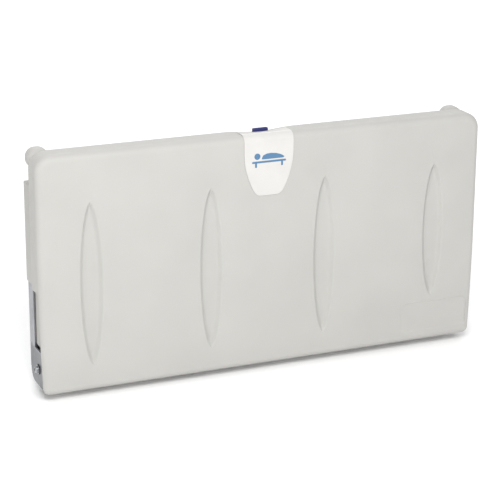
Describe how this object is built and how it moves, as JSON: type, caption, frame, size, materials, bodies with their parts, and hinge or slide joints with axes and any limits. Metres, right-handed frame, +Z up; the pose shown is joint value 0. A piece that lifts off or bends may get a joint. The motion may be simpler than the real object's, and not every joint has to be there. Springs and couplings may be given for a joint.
{
  "type": "wall-mounted baby changing station",
  "caption": "Horizontal wall-mounted baby changing station with a fold-down moulded bed, bag hooks, top latch, safety belt and gas spring.",
  "frame": {"origin": "middle of the back face of the wall plate, on the wall plane, at mid-height of the closed bed", "axes": "+X to the right, +Y into the wall, +Z up; the bed front faces -Y"},
  "size_m": [0.889, 0.1015, 0.455],
  "materials": {
    "shell_grey": "warm light grey moulded polyethylene, fine matt texture",
    "badge_white": "white moulded plate, satin",
    "navy_plastic": "navy blue moulded plastic, satin",
    "zinc_steel": "zinc-plated steel sheet and bar",
    "bolt_steel": "zinc-plated fasteners",
    "nylon_white": "white nylon",
    "black_metal": "black painted gas spring tube",
    "dark_plastic": "dark charcoal acetal buckle and belt anchors",
    "webbing": "charcoal polypropylene belt webbing",
    "rubber_black": "black rubber"
  },
  "bodies": {
    "wall_unit": {"wall_plate": "zinc_steel", "side_bracket_left": "zinc_steel", "side_bracket_right": "zinc_steel", "tie_rail": "zinc_steel", "back_shell": "shell_grey", "back_basin": "shell_grey", "bag_hook_left": "shell_grey", "bag_hook_right": "shell_grey", "liner_cover": "shell_grey", "liner_screw_1": "bolt_steel", "liner_screw_2": "bolt_steel", "strike_plate": "zinc_steel", "pivot_bolt_left": "bolt_steel", "pivot_bolt_right": "bolt_steel", "pivot_nut_left": "bolt_steel", "pivot_nut_right": "bolt_steel", "pivot_bush_left": "dark_plastic", "pivot_bush_right": "dark_plastic", "bracket_bolt_1": "bolt_steel", "bracket_bolt_2": "bolt_steel", "bracket_bolt_3": "bolt_steel", "bracket_bolt_4": "bolt_steel", "wall_screw_1": "bolt_steel", "wall_screw_2": "bolt_steel", "wall_screw_3": "bolt_steel", "wall_screw_4": "bolt_steel", "wall_screw_5": "bolt_steel", "wall_screw_6": "bolt_steel", "gas_anchor_stud": "bolt_steel"},
    "bed": {"bed_shell": "shell_grey", "bed_tray": "shell_grey", "badge_plate": "badge_white", "latch_guide": "nylon_white", "latch_spring": "zinc_steel", "hinge_arm_left": "zinc_steel", "hinge_arm_right": "zinc_steel", "arm_screw_1": "bolt_steel", "arm_screw_2": "bolt_steel", "arm_screw_3": "bolt_steel", "arm_screw_4": "bolt_steel", "bed_stiffener": "zinc_steel", "pivot_washer_left": "nylon_white", "pivot_washer_right": "nylon_white", "strap_anchor_upper": "dark_plastic", "strap_anchor_lower": "dark_plastic", "strap_lower": "webbing", "strap_upper": "webbing", "buckle_socket": "dark_plastic", "buckle_plug": "dark_plastic", "bumper_left": "rubber_black", "bumper_right": "rubber_black", "gas_pin_rivet": "bolt_steel"},
    "latch": {"latch_tab": "navy_plastic"},
    "gas_tube": {"gas_cylinder": "black_metal"},
    "gas_piston": {"gas_rod": "zinc_steel", "gas_rod_pin": "bolt_steel"}
  },
  "joints": [
    {"name": "bed_fold", "type": "hinge", "parent": "wall_unit", "child": "bed", "pos_m": [0, -0.05, -0.189], "axis": [1, 0, 0], "range_deg": [0, 90]},
    {"name": "latch_press", "type": "slide", "parent": "bed", "child": "latch", "axis": [0, 0, -1], "range_m": [0, 0.005], "stiffness_N_per_m": 900, "springref_m": -0.002, "deforming": ["latch_spring"]},
    {"name": "gas_swing", "type": "hinge", "parent": "wall_unit", "child": "gas_tube", "pos_m": [0.414, -0.018, 0.017], "axis": [1, 0, 0], "range_deg": [-2.04, 0]},
    {"name": "gas_stroke", "type": "slide", "parent": "gas_tube", "child": "gas_piston", "axis": [0, 0.0354, 0.9994], "range_m": [0, 0.04475]}
  ],
  "couplings": [
    {"joint": "gas_swing", "follows": "bed_fold", "ratio": -0.019388},
    {"joint": "gas_stroke", "follows": "bed_fold", "m_per_rad": 0.02785}
  ]
}
